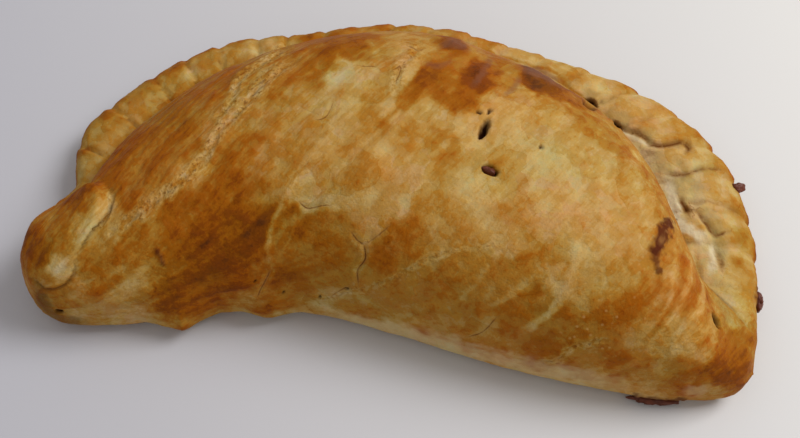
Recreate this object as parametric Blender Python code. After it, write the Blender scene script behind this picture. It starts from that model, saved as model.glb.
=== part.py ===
"""A Cornish pasty: a half-moon pastry turnover with a crimped edge, lying on its flat base.

+X runs along the pasty from the folded nose to the flat corner, +Y points at the crimped edge and +Z is up. The
origin is the middle of the base. The form functions work in millimetres, and the mesh is made in metres.
"""

import math
from typing import NamedTuple

import bmesh
import bpy
import numpy as np
from mathutils import Vector

MM = 0.001

# Mesh of the crust: slices along the pasty, and the points around a slice by the part of it that they are on.
# They go under the pasty from back to front, up the front, over the dome, over the crimp and down the back.
SLICES_ALONG = 126
UNDER, FRONT, DOME, CRIMP, BACK = 4, 3, 19, 13, 3
DOME_START = UNDER + FRONT
CRIMP_START = DOME_START + DOME
BACK_START = CRIMP_START + CRIMP
POINTS_AROUND = BACK_START + BACK
LUMP_SIDES = 12  # of a bit of filling, or of a hole


class Slice(NamedTuple):
    """One slice across the pasty. Lengths are in millimetres, and points are in plan."""

    along: float  # share of the way along the pasty's edge, from the nose to the corner
    front: tuple  # on the folded front edge
    groove: tuple  # in the groove between the dome and the crimp
    edge: tuple  # on the outer edge of the crimp
    crown: float  # height of the dome
    crimp: float  # height of the crimp
    groove_z: float  # height of the groove's bottom


SLICES = (
    Slice(0.000, (-102.0, -42.0), (-102.0, -42.0), (-102.0, -42.0), 14.0, 13.0, 12.0),
    Slice(0.023, (-100.8, -46.5), (-99.5, -37.5), (-100.8, -35.5), 19.5, 16.5, 15.5),
    Slice(0.060, (-95.8, -53.3), (-92.0, -26.5), (-97.8, -25.0), 24.5, 16.5, 15.5),
    Slice(0.090, (-90.0, -56.0), (-85.5, -18.0), (-96.4, -16.3), 27.0, 15.5, 13.0),
    Slice(0.127, (-82.0, -56.2), (-83.0, -7.0), (-99.8, -1.0), 29.5, 15.0, 11.0),
    Slice(0.202, (-64.5, -52.4), (-73.0, 9.8), (-90.2, 19.9), 34.5, 14.5, 11.0),
    Slice(0.291, (-44.0, -46.2), (-55.5, 26.0), (-66.6, 41.3), 39.5, 15.0, 11.5),
    Slice(0.380, (-22.0, -42.8), (-32.6, 37.6), (-36.5, 50.6), 44.0, 16.5, 12.5),
    Slice(0.472, (1.0, -45.2), (-5.3, 44.4), (-6.0, 57.7), 46.0, 17.0, 13.0),
    Slice(0.576, (26.0, -49.4), (26.7, 38.7), (27.6, 54.2), 44.8, 15.5, 12.0),
    Slice(0.669, (48.0, -52.0), (48.6, 28.3), (59.7, 46.9), 43.0, 15.0, 11.0),
    Slice(0.762, (68.0, -53.0), (65.0, 12.5), (86.0, 30.8), 38.0, 15.0, 10.5),
    Slice(0.852, (84.0, -52.2), (75.0, -6.0), (99.5, 4.0), 30.0, 14.0, 10.0),
    Slice(0.927, (94.0, -49.9), (85.5, -26.0), (101.5, -22.5), 19.0, 13.0, 11.5),
    Slice(0.972, (98.0, -47.4), (95.0, -39.5), (100.8, -36.5), 14.0, 12.5, 12.0),
    Slice(1.000, (100.2, -44.0), (100.2, -44.0), (100.2, -44.0), 12.0, 12.0, 12.0),
)

TIP_Z = 9.0  # height of the two points where the slices close
TIP_ROUND = 0.07  # share of the way along over which each end rounds off
FOOT = 7.0  # how far the base is set in from the outline
FOOT_SHARE = 0.4  # the most that it is set in, as a share of a slice's width
FRONT_Z = 5.5  # height at which the front bulges most
EDGE_Z = 6.5  # height of the crimp's outer edge
CROWN_SHARE = 0.5  # place of the crown on the way from the front to the groove
DOME_FULLNESS = 2.35  # exponent of the dome's superellipse: 2 is an ellipse, more is boxier
CRIMP_FULLNESS = 1.95  # the same for the crimp
CRIMP_RIDGE = 0.38  # place of the crimp's ridge on the way from the groove to the edge

PLEATS_BEGIN = (0.070, 0.095)  # where along the edge the crimp's folds fade in, from the nose
PLEATS_END = (0.915, 0.955)  # where they fade out, towards the corner
CREASE_FADE = 0.25  # share of the way across the crimp, from the groove, over which the creases fade in
LOBE_LEAN, LOBE_ROUND = 1.45, 0.42  # exponents that lean a fold's back over the next fold and round it

NOSE_ENDS = (0.038, 0.092)  # where along the edge the plain nose turns into dome and crimp
CORNER_STARTS = (0.88, 0.965)  # where along the edge dome and crimp turn into the plain corner
EDGE_STEP = 0.004  # step along the edge that its direction is read from
EDGE_SAMPLES = 800  # points that its length is measured over
FLAP_TOP = 22.0  # height at which a flap of the front edge has merged with the dome
RELIEF_FROM, RELIEF_FULL = 8.0, 16.0  # heights between which the raised patches fade in


class Crease(NamedTuple):
    """A crease between two of the crimp's folds."""

    at_edge: float  # millimetres along the outer edge, from the nose
    slant: float  # how much nearer to the nose it is at the groove
    depth: float  # share of the crimp's section that it cuts in


CREASES = (
    Crease(28.0, 3.0, 0.06),
    Crease(41.0, 3.0, 0.09),
    Crease(58.0, 4.0, 0.08),
    Crease(75.0, 6.0, 0.10),
    Crease(87.0, 7.0, 0.09),
    Crease(98.0, 7.0, 0.09),
    Crease(111.0, 7.0, 0.09),
    Crease(121.0, 8.0, 0.07),
    Crease(133.0, 8.0, 0.07),
    Crease(144.0, 8.0, 0.06),
    Crease(156.0, 8.0, 0.09),
    Crease(168.0, 9.0, 0.08),
    Crease(180.0, 9.0, 0.06),
    Crease(192.0, 10.0, 0.07),
    Crease(204.0, 10.0, 0.07),
    Crease(219.0, 11.0, 0.09),
    Crease(235.0, 12.0, 0.09),
    Crease(249.0, 12.0, 0.09),
    Crease(264.0, 12.0, 0.10),
    Crease(276.0, 11.0, 0.08),
    Crease(290.0, 11.0, 0.09),
    Crease(302.0, 10.0, 0.08),
    Crease(317.0, 9.0, 0.07),
    Crease(335.0, 7.0, 0.06),
)


class Flap(NamedTuple):
    """A flap of dough that hangs out over the front edge."""

    along: float
    half_width: float  # share of the way along
    reach: float
    pointed: float  # 0 is round, 1 is pointed


FLAPS = (
    Flap(0.240, 0.044, 4.5, 1.0),
    Flap(0.338, 0.040, 2.5, 0.0),
)


class Patch(NamedTuple):
    """A raised oval of crust, in plan."""

    centre: tuple
    half_length: float
    half_width: float
    turn: float  # degrees from +X to its length
    height: float
    flat: float  # share of the way out to its rim over which it stays flat


NOSE_FLAP = Patch((-89.5, -41.0), 18.5, 11.5, 58.0, 3.2, 0.80)
BLISTERS = (
    Patch((-26.0, 24.0), 16.0, 9.0, 35.0, 1.2, 0.1),
    Patch((9.0, 31.0), 11.0, 6.0, 150.0, 1.6, 0.2),
    Patch((32.0, 25.0), 14.0, 7.0, 155.0, 1.4, 0.2),
    Patch((60.0, -4.0), 11.0, 7.0, 120.0, 0.9, 0.0),
    Patch((-60.0, -22.0), 18.0, 8.0, 48.0, 1.3, 0.0),
    Patch((-10.0, -22.0), 20.0, 9.0, 50.0, 1.0, 0.0),
)


class Lump(NamedTuple):
    """An ellipsoid: a hole's cutter or a bit of filling. In millimetres and degrees."""

    centre: tuple
    half_sizes: tuple
    turn: float  # about +Z


HOLES = {
    "vent": Lump((20.2, -2.0, 45.3), (3.0, 1.3, 4.0), 62.0),
    "filled_vent": Lump((23.1, -14.0, 44.9), (3.2, 1.6, 3.5), -20.0),
    "burst": Lump((69.5, -24.5, 37.0), (7.0, 2.0, 2.5), 78.0),
    "groove_pit_1": Lump((49.3, 33.5, 14.0), (3.0, 2.0, 3.5), -40.0),
    "groove_pit_2": Lump((57.5, 24.7, 13.0), (2.5, 1.5, 3.5), -45.0),
    "corner_pit": Lump((86.7, -36.3, 22.5), (2.6, 1.3, 2.6), -60.0),
}
FILLING = {
    "vent_bit": Lump((23.6, -13.8, 42.2), (2.7, 1.3, 3.2), -20.0),
    "edge_bit": Lump((94.6, 14.2, 8.8), (2.8, 1.7, 1.5), 20.0),
    "edge_leak": Lump((101.6, -21.5, 7.5), (1.5, 2.8, 2.2), 0.0),
    "front_leak": Lump((75.0, -52.3, 1.9), (6.5, 1.6, 1.3), 3.0),
}


def smooth(knots, values, at):
    """A smooth curve through the values at the knots, read at the given places."""
    slopes = np.gradient(values, knots)
    cell = np.clip(np.searchsorted(knots, at, side="right") - 1, 0, len(knots) - 2)
    width = knots[cell + 1] - knots[cell]
    f = (at - knots[cell]) / width
    rise = f * f * (3 - 2 * f)
    lift = slopes[cell] * f * (1 - f) ** 2 - slopes[cell + 1] * f * f * (1 - f)
    return values[cell] * (1 - rise) + values[cell + 1] * rise + lift * width


def ramp(value, low, high):
    """0 up to low, 1 from high on, and a soft step between them."""
    f = np.clip((value - low) / (high - low), 0, 1)
    return f * f * (3 - 2 * f)


def mix(a, b, share):
    """The point at a share of the way from a to b."""
    return a + (b - a) * share


def column(name, along):
    """A column of SLICES as a smooth line: a height, or a point in plan as an array whose last axis is x and y."""
    knots = np.array([s.along for s in SLICES])
    values = np.array([getattr(s, name) for s in SLICES], float)
    if values.ndim == 1:
        return smooth(knots, values, along)
    return np.stack([smooth(knots, values[:, k], along) for k in range(2)], axis=-1)


def flap_reach(along):
    """How far the flaps hang out over the front edge."""
    reach = np.zeros_like(along)
    for flap in FLAPS:
        near = np.clip(1 - np.abs(along - flap.along) / flap.half_width, 0, 1)
        reach = reach + flap.reach * mix(ramp(near, 0, 1), near, flap.pointed)
    return reach


def patch_height(patch, x, y):
    """How far a patch raises the crust at places in plan."""
    turn = np.radians(patch.turn)
    dx, dy = x - patch.centre[0], y - patch.centre[1]
    long = (dx * np.cos(turn) + dy * np.sin(turn)) / patch.half_length
    wide = (dy * np.cos(turn) - dx * np.sin(turn)) / patch.half_width
    return patch.height * (1 - ramp(np.hypot(long, wide), patch.flat, 1))


def edge_length(along):
    """Millimetres along the crimp's outer edge, from the nose."""
    fine = np.linspace(0, 1, EDGE_SAMPLES)
    steps = np.diff(column("edge", fine), axis=0)
    run = np.concatenate([[0], np.cumsum(np.hypot(steps[:, 0], steps[:, 1]))])
    return np.interp(along, fine, run)


def arch(f, fullness, ridge):
    """A superellipse for f from 0 to 1, with its top at the ridge: its share of the way across, and its height."""
    cosine, sine = np.cos(np.pi * f), np.sin(np.pi * f)
    out = -np.sign(cosine) * np.abs(cosine) ** (2 / fullness)
    return np.where(out < 0, ridge * (1 + out), ridge + (1 - ridge) * out), np.clip(sine, 0, 1) ** (2 / fullness)


def fold_count(along, across):
    """The number of folds up to a place on the crimp: a whole number is a crease."""
    run = edge_length(along)
    lines = [crease.at_edge - crease.slant * (1 - across) for crease in CREASES]
    return sum(np.clip((run - low) / (high - low), 0, 1) for low, high in zip(lines, lines[1:]))


def pleats(along, across):
    """How far the creases cut in: 0 on a fold's back, and a crease's depth in the crease."""
    count = fold_count(along, across)
    lobe = np.sin(np.pi * (count - np.floor(count)) ** LOBE_LEAN) ** LOBE_ROUND
    depth = np.interp(count, np.arange(len(CREASES)), [crease.depth for crease in CREASES])
    present = ramp(along, *PLEATS_BEGIN) * (1 - ramp(along, *PLEATS_END))
    return depth * (1 - lobe) * present


def plain_section(along):
    """1 where the dome and the crimp are one smooth arch, at the nose and at the corner, and 0 between them."""
    return 1 - ramp(along, *NOSE_ENDS) + ramp(along, *CORNER_STARTS)


def inward(name, along, side):
    """The direction in plan that leads square from the front or the outer edge into the pasty."""
    step = column(name, np.minimum(along + EDGE_STEP, 1)) - column(name, np.maximum(along - EDGE_STEP, 0))
    step = step / np.maximum(np.linalg.norm(step, axis=-1, keepdims=True), 1e-9)
    return side * np.stack([-step[..., 1], step[..., 0]], axis=-1)


def crimp_share(along, f, share):
    """A share of the way across the crimp, drawn in towards its ridge where a crease is."""
    puff = 1 - pleats(along, f) * ramp(f, 0, CREASE_FADE)
    return CRIMP_RIDGE + (share - CRIMP_RIDGE) * puff, puff


def crust(along, around):
    """Points of the crust, in millimetres. around counts the points of a slice, from 0 at the back of the base."""
    front, groove, edge = (column(name, along) for name in ("front", "groove", "edge"))
    crown, crimp, groove_z = (column(name, along) for name in ("crown", "crimp", "groove_z"))
    starts = (0, UNDER, DOME_START, CRIMP_START, BACK_START)
    counts = (UNDER, FRONT, DOME, CRIMP, BACK)
    under_f, front_f, dome_f, crimp_f, back_f = (np.clip((around - a) / n, 0, 1) for a, n in zip(starts, counts))

    outer = mix(groove, edge, crimp_share(along, np.ones_like(along), 1.0)[0][..., None])
    chord = outer - front
    length = np.maximum(np.linalg.norm(chord, axis=-1, keepdims=True), 1e-6)
    foot = np.minimum(FOOT, FOOT_SHARE * length)
    toe = front + inward("front", along, 1) * foot
    heel = outer + inward("edge", along, -1) * foot

    quarter = np.pi / 2
    dome_share, dome_up = arch(dome_f, DOME_FULLNESS, CROWN_SHARE)
    dome_rest = mix(FRONT_Z, groove_z, dome_f)
    flat_share, crimp_up = arch(crimp_f, CRIMP_FULLNESS, CRIMP_RIDGE)
    crimp_across, puff = crimp_share(along, crimp_f, flat_share)
    crimp_rest = mix(groove_z, EDGE_Z, crimp_f)
    end_f = np.clip((around - DOME_START) / (DOME + CRIMP), 0, 1)
    end_share, end_up = arch(end_f, DOME_FULLNESS, CROWN_SHARE)
    end_z = mix(mix(FRONT_Z, EDGE_Z, end_f), crown, end_up)
    parts = (
        (mix(heel, toe, under_f[..., None]), np.zeros_like(along)),
        (mix(toe, front, np.sin(quarter * front_f)[..., None]), FRONT_Z * (1 - np.cos(quarter * front_f))),
        (mix(front, groove, dome_share[..., None]), mix(dome_rest, crown, dome_up)),
        (mix(groove, edge, crimp_across[..., None]), mix(EDGE_Z, mix(crimp_rest, crimp, crimp_up), puff)),
        (mix(heel, outer, np.cos(quarter * back_f)[..., None]), EDGE_Z * (1 - np.sin(quarter * back_f))),
    )
    which = [around <= end for end in starts[1:]] + [around > BACK_START]
    plan = np.stack([np.select(which, [p[..., k] for p, _ in parts]) for k in range(2)], axis=-1)
    z = np.select(which, [height for _, height in parts])
    over_top = (around >= DOME_START) & (around <= BACK_START)
    plain = np.where(over_top, plain_section(along), 0)
    plan = mix(plan, mix(front, outer, end_share[..., None]), plain[..., None])
    z = mix(z, end_z, plain)

    over_front = np.where(around < DOME_START + DOME / 2, ramp(z, 0, FRONT_Z) * (1 - ramp(z, FRONT_Z, FLAP_TOP)), 0)
    plan = plan - chord / length * (flap_reach(along) * over_front)[..., None]

    opening = np.sin(quarter * np.clip(np.minimum(along, 1 - along) / TIP_ROUND, 0, 1))
    z = mix(TIP_Z, z, opening)
    raised = sum(patch_height(patch, plan[..., 0], plan[..., 1]) for patch in (NOSE_FLAP, *BLISTERS))
    z = z + raised * ramp(z, RELIEF_FROM, RELIEF_FULL)
    return np.concatenate([plan, z[..., None]], axis=-1)


def make_crust():
    """The crust as a mesh: a sphere whose poles are the nose's and the corner's tips, moved onto the crust."""
    mesh = bpy.data.meshes.new("pasty")
    bm = bmesh.new()
    bmesh.ops.create_uvsphere(bm, u_segments=POINTS_AROUND, v_segments=SLICES_ALONG, radius=1)
    on_sphere = np.array([v.co for v in bm.verts])
    along = np.arccos(np.clip(on_sphere[:, 2], -1, 1)) / np.pi
    turn = np.arctan2(on_sphere[:, 1], on_sphere[:, 0]) / (2 * np.pi) % 1
    around = np.round(turn * POINTS_AROUND) % POINTS_AROUND
    points = crust(along, around) * MM
    for vert, point in zip(bm.verts, points):
        vert.co = point
    bmesh.ops.triangulate(bm, faces=bm.faces)
    bm.to_mesh(mesh)
    bm.free()
    mesh.shade_smooth()
    return mesh


def ellipsoid(name, lump, collection):
    """A lump as an object in a collection."""
    mesh = bpy.data.meshes.new(name)
    bm = bmesh.new()
    bmesh.ops.create_uvsphere(bm, u_segments=LUMP_SIDES, v_segments=LUMP_SIDES // 2, radius=1)
    bm.to_mesh(mesh)
    bm.free()
    piece = bpy.data.objects.new(name, mesh)
    piece.location = Vector(lump.centre) * MM
    piece.rotation_euler.z = math.radians(lump.turn)
    piece.scale = Vector(lump.half_sizes) * MM
    collection.objects.link(piece)
    return piece


def apply_boolean(target, operation, lumps):
    """Joins lumps to the target or cuts them out of it, in one Boolean, and removes them."""
    collection = bpy.data.collections.new("cutters")
    bpy.context.scene.collection.children.link(collection)
    for name, lump in lumps.items():
        cutter = ellipsoid(name, lump, collection)
        cutter.hide_render = True
        cutter.display_type = "WIRE"
    boolean = target.modifiers.new(operation.lower(), "BOOLEAN")
    boolean.operation = operation
    boolean.operand_type = "COLLECTION"
    boolean.collection = collection
    boolean.solver = "MANIFOLD"
    evaluated = target.evaluated_get(bpy.context.evaluated_depsgraph_get())
    target.data = bpy.data.meshes.new_from_object(evaluated)
    target.modifiers.clear()
    for cutter in list(collection.objects):
        bpy.data.objects.remove(cutter)
    bpy.data.collections.remove(collection)


def crust_material():
    """Baked and glazed pastry."""
    material = bpy.data.materials.new("baked_pastry")
    material.use_nodes = True
    shader = material.node_tree.nodes["Principled BSDF"]
    shader.inputs["Base Color"].default_value = (0.36, 0.18, 0.05, 1)
    shader.inputs["Roughness"].default_value = 0.45
    shader.inputs["Metallic"].default_value = 0.0
    return material


def main():
    for old in list(bpy.data.objects):
        bpy.data.objects.remove(old)
    collection = bpy.data.collections.new("cornish_pasty")
    bpy.context.scene.collection.children.link(collection)
    pasty = bpy.data.objects.new("pasty", make_crust())
    pasty.data.materials.append(crust_material())
    collection.objects.link(pasty)
    apply_boolean(pasty, "DIFFERENCE", HOLES)
    apply_boolean(pasty, "UNION", FILLING)


main()
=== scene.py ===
"""The looks of a Cornish pasty: a fine crust with baked relief and colours, and bits of filling that show.

The form functions are those of the construction and work in millimetres, in the frame of the CAD model.
Places that were read off the photograph are pixels of its 800 x 438 frame, and are laid onto the crust
through the camera.
"""
import itertools
import math
from typing import NamedTuple

import bmesh
import bpy
import numpy as np
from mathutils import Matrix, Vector


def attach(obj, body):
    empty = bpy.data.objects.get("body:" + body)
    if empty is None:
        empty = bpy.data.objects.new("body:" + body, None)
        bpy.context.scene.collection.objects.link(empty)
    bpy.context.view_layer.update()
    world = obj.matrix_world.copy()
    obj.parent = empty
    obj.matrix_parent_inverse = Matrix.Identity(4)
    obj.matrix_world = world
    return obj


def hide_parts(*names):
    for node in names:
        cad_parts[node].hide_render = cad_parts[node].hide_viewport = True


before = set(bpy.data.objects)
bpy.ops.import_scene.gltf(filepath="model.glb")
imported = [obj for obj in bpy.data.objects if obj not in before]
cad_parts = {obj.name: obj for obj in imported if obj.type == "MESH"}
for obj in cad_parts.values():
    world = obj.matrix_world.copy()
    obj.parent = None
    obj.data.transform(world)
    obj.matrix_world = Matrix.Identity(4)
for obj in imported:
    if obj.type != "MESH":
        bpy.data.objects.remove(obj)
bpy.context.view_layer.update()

MM = 0.001

# Form of the crust, as in the construction

UNDER, FRONT, DOME, CRIMP, BACK = 4, 3, 19, 13, 3
DOME_START = UNDER + FRONT
CRIMP_START = DOME_START + DOME
BACK_START = CRIMP_START + CRIMP


class Slice(NamedTuple):
    """One slice across the pasty. Lengths are in millimetres, and points are in plan."""

    along: float  # share of the way along the pasty's edge, from the nose to the corner
    front: tuple  # on the folded front edge
    groove: tuple  # in the groove between the dome and the crimp
    edge: tuple  # on the outer edge of the crimp
    crown: float  # height of the dome
    crimp: float  # height of the crimp
    groove_z: float  # height of the groove's bottom


SLICES = (
    Slice(0.000, (-102.0, -42.0), (-102.0, -42.0), (-102.0, -42.0), 14.0, 13.0, 12.0),
    Slice(0.023, (-100.8, -46.5), (-99.5, -37.5), (-100.8, -35.5), 19.5, 16.5, 15.5),
    Slice(0.060, (-95.8, -53.3), (-92.0, -26.5), (-97.8, -25.0), 24.5, 16.5, 15.5),
    Slice(0.090, (-90.0, -56.0), (-85.5, -18.0), (-96.4, -16.3), 27.0, 15.5, 13.0),
    Slice(0.127, (-82.0, -56.2), (-83.0, -7.0), (-99.8, -1.0), 29.5, 15.0, 11.0),
    Slice(0.202, (-64.5, -52.4), (-73.0, 9.8), (-90.2, 19.9), 34.5, 14.5, 11.0),
    Slice(0.291, (-44.0, -46.2), (-55.5, 26.0), (-66.6, 41.3), 39.5, 15.0, 11.5),
    Slice(0.380, (-22.0, -42.8), (-32.6, 37.6), (-36.5, 50.6), 44.0, 16.5, 12.5),
    Slice(0.472, (1.0, -45.2), (-5.3, 44.4), (-6.0, 57.7), 46.0, 17.0, 13.0),
    Slice(0.576, (26.0, -49.4), (26.7, 38.7), (27.6, 54.2), 44.8, 15.5, 12.0),
    Slice(0.669, (48.0, -52.0), (48.6, 28.3), (59.7, 46.9), 43.0, 15.0, 11.0),
    Slice(0.762, (68.0, -53.0), (65.0, 12.5), (86.0, 30.8), 38.0, 15.0, 10.5),
    Slice(0.852, (84.0, -52.2), (75.0, -6.0), (99.5, 4.0), 30.0, 14.0, 10.0),
    Slice(0.927, (94.0, -49.9), (85.5, -26.0), (101.5, -22.5), 19.0, 13.0, 11.5),
    Slice(0.972, (98.0, -47.4), (95.0, -39.5), (100.8, -36.5), 14.0, 12.5, 12.0),
    Slice(1.000, (100.2, -44.0), (100.2, -44.0), (100.2, -44.0), 12.0, 12.0, 12.0),
)

TIP_Z = 9.0  # height of the two points where the slices close
TIP_ROUND = 0.07  # share of the way along over which each end rounds off
FOOT = 7.0  # how far the base is set in from the outline
FOOT_SHARE = 0.4  # the most that it is set in, as a share of a slice's width
FRONT_Z = 5.5  # height at which the front bulges most
EDGE_Z = 6.5  # height of the crimp's outer edge
CROWN_SHARE = 0.5  # place of the crown on the way from the front to the groove
DOME_FULLNESS = 2.35  # exponent of the dome's superellipse: 2 is an ellipse, more is boxier
CRIMP_FULLNESS = 1.95  # the same for the crimp
CRIMP_RIDGE = 0.38  # place of the crimp's ridge on the way from the groove to the edge

PLEATS_BEGIN = (0.070, 0.095)  # where along the edge the crimp's folds fade in, from the nose
PLEATS_END = (0.915, 0.955)  # where they fade out, towards the corner
CREASE_FADE = 0.25  # share of the way across the crimp, from the groove, over which the creases fade in
LOBE_LEAN, LOBE_ROUND = 1.45, 0.42  # exponents that lean a fold's back over the next fold and round it

NOSE_ENDS = (0.038, 0.092)  # where along the edge the plain nose turns into dome and crimp
CORNER_STARTS = (0.88, 0.965)  # where along the edge dome and crimp turn into the plain corner
EDGE_STEP = 0.004  # step along the edge that its direction is read from
EDGE_SAMPLES = 800  # points that its length is measured over
FLAP_TOP = 22.0  # height at which a flap of the front edge has merged with the dome
RELIEF_FROM, RELIEF_FULL = 8.0, 16.0  # heights between which the raised patches fade in


class Crease(NamedTuple):
    """A crease between two of the crimp's folds."""

    at_edge: float  # millimetres along the outer edge, from the nose
    slant: float  # how much nearer to the nose it is at the groove
    depth: float  # share of the crimp's section that it cuts in


CREASES = [Crease(*row) for row in (
    (28, 3, 0.06), (41, 3, 0.09), (58, 4, 0.08), (75, 6, 0.1), (87, 7, 0.09), (98, 7, 0.09), (111, 7, 0.09),
    (121, 8, 0.07), (133, 8, 0.07), (144, 8, 0.06), (156, 8, 0.09), (168, 9, 0.08), (180, 9, 0.06),
    (192, 10, 0.07), (204, 10, 0.07), (219, 11, 0.09), (235, 12, 0.09), (249, 12, 0.09), (264, 12, 0.1),
    (276, 11, 0.08), (290, 11, 0.09), (302, 10, 0.08), (317, 9, 0.07), (335, 7, 0.06),
)]


class Flap(NamedTuple):
    """A flap of dough that hangs out over the front edge."""

    along: float
    half_width: float  # share of the way along
    reach: float
    pointed: float  # 0 is round, 1 is pointed


FLAPS = (
    Flap(0.240, 0.044, 4.5, 1.0),
    Flap(0.338, 0.040, 2.5, 0.0),
)


class Patch(NamedTuple):
    """A raised oval of crust, in plan."""

    centre: tuple
    half_length: float
    half_width: float
    turn: float  # degrees from +X to its length
    height: float
    flat: float  # share of the way out to its rim over which it stays flat


NOSE_FLAP = Patch((-89.5, -41.0), 18.5, 11.5, 58.0, 3.2, 0.80)
BLISTERS = (
    Patch((-26.0, 24.0), 16.0, 9.0, 35.0, 1.2, 0.1),
    Patch((9.0, 31.0), 11.0, 6.0, 150.0, 1.6, 0.2),
    Patch((32.0, 25.0), 14.0, 7.0, 155.0, 1.4, 0.2),
    Patch((60.0, -4.0), 11.0, 7.0, 120.0, 0.9, 0.0),
    Patch((-60.0, -22.0), 18.0, 8.0, 48.0, 1.3, 0.0),
    Patch((-10.0, -22.0), 20.0, 9.0, 50.0, 1.0, 0.0),
)


def smooth(knots, values, at):
    """A smooth curve through the values at the knots, read at the given places."""
    slopes = np.gradient(values, knots)
    cell = np.clip(np.searchsorted(knots, at, side="right") - 1, 0, len(knots) - 2)
    width = knots[cell + 1] - knots[cell]
    f = (at - knots[cell]) / width
    rise = f * f * (3 - 2 * f)
    lift = slopes[cell] * f * (1 - f) ** 2 - slopes[cell + 1] * f * f * (1 - f)
    return values[cell] * (1 - rise) + values[cell + 1] * rise + lift * width


def ramp(value, low, high):
    """0 up to low, 1 from high on, and a soft step between them."""
    f = np.clip((value - low) / (high - low), 0, 1)
    return f * f * (3 - 2 * f)


def mix(a, b, share):
    """The point at a share of the way from a to b."""
    return a + (b - a) * share


def column(name, along):
    """A column of SLICES as a smooth line: a height, or a point in plan, with x and y on the last axis."""
    knots = np.array([s.along for s in SLICES])
    values = np.array([getattr(s, name) for s in SLICES], float)
    if values.ndim == 1:
        return smooth(knots, values, along)
    return np.stack([smooth(knots, values[:, k], along) for k in range(2)], axis=-1)


def flap_reach(along):
    """How far the flaps hang out over the front edge."""
    reach = np.zeros_like(along)
    for flap in FLAPS:
        near = np.clip(1 - np.abs(along - flap.along) / flap.half_width, 0, 1)
        reach = reach + flap.reach * mix(ramp(near, 0, 1), near, flap.pointed)
    return reach


def patch_reach(patch, x, y):
    """How far out places in plan are in a patch: 0 in its middle and 1 on its rim."""
    turn = np.radians(patch.turn)
    dx, dy = x - patch.centre[0], y - patch.centre[1]
    long = (dx * np.cos(turn) + dy * np.sin(turn)) / patch.half_length
    wide = (dy * np.cos(turn) - dx * np.sin(turn)) / patch.half_width
    return np.hypot(long, wide)


def patch_height(patch, x, y):
    """How far a patch raises the crust at places in plan."""
    return patch.height * (1 - ramp(patch_reach(patch, x, y), patch.flat, 1))


def edge_length(along):
    """Millimetres along the crimp's outer edge, from the nose."""
    fine = np.linspace(0, 1, EDGE_SAMPLES)
    steps = np.diff(column("edge", fine), axis=0)
    run = np.concatenate([[0], np.cumsum(np.hypot(steps[:, 0], steps[:, 1]))])
    return np.interp(along, fine, run)


def arch(f, fullness, ridge):
    """A superellipse for f from 0 to 1, with its top at the ridge: its share of the way across, and up."""
    cosine, sine = np.cos(np.pi * f), np.sin(np.pi * f)
    out = -np.sign(cosine) * np.abs(cosine) ** (2 / fullness)
    share = np.where(out < 0, ridge * (1 + out), ridge + (1 - ridge) * out)
    return share, np.clip(sine, 0, 1) ** (2 / fullness)


def fold_count(along, across):
    """The number of folds up to a place on the crimp: a whole number is a crease."""
    run = edge_length(along)
    lines = [crease.at_edge - crease.slant * (1 - across) for crease in CREASES]
    return sum(np.clip((run - low) / (high - low), 0, 1) for low, high in zip(lines, lines[1:]))


def pleats(along, across):
    """How far the creases cut in: 0 on a fold's back, and a crease's depth in the crease."""
    count = fold_count(along, across)
    lobe = np.sin(np.pi * (count - np.floor(count)) ** LOBE_LEAN) ** LOBE_ROUND
    depth = np.interp(count, np.arange(len(CREASES)), [crease.depth for crease in CREASES])
    present = ramp(along, *PLEATS_BEGIN) * (1 - ramp(along, *PLEATS_END))
    return depth * (1 - lobe) * present


def plain_section(along):
    """1 where the dome and the crimp are one smooth arch, at nose and corner, and 0 between them."""
    return 1 - ramp(along, *NOSE_ENDS) + ramp(along, *CORNER_STARTS)


def inward(name, along, side):
    """The direction in plan that leads square from the front or the outer edge into the pasty."""
    step = column(name, np.minimum(along + EDGE_STEP, 1)) - column(name, np.maximum(along - EDGE_STEP, 0))
    step = step / np.maximum(np.linalg.norm(step, axis=-1, keepdims=True), 1e-9)
    return side * np.stack([-step[..., 1], step[..., 0]], axis=-1)


def crimp_share(along, f, share):
    """A share of the way across the crimp, drawn in towards its ridge where a crease is."""
    puff = 1 - pleats(along, f) * ramp(f, 0, CREASE_FADE)
    return CRIMP_RIDGE + (share - CRIMP_RIDGE) * puff, puff


def zones(around):
    """How far through each zone the places around a slice are, from 0 to 1."""
    starts = (0, UNDER, DOME_START, CRIMP_START, BACK_START)
    counts = (UNDER, FRONT, DOME, CRIMP, BACK)
    return [np.clip((around - a) / n, 0, 1) for a, n in zip(starts, counts)]


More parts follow.
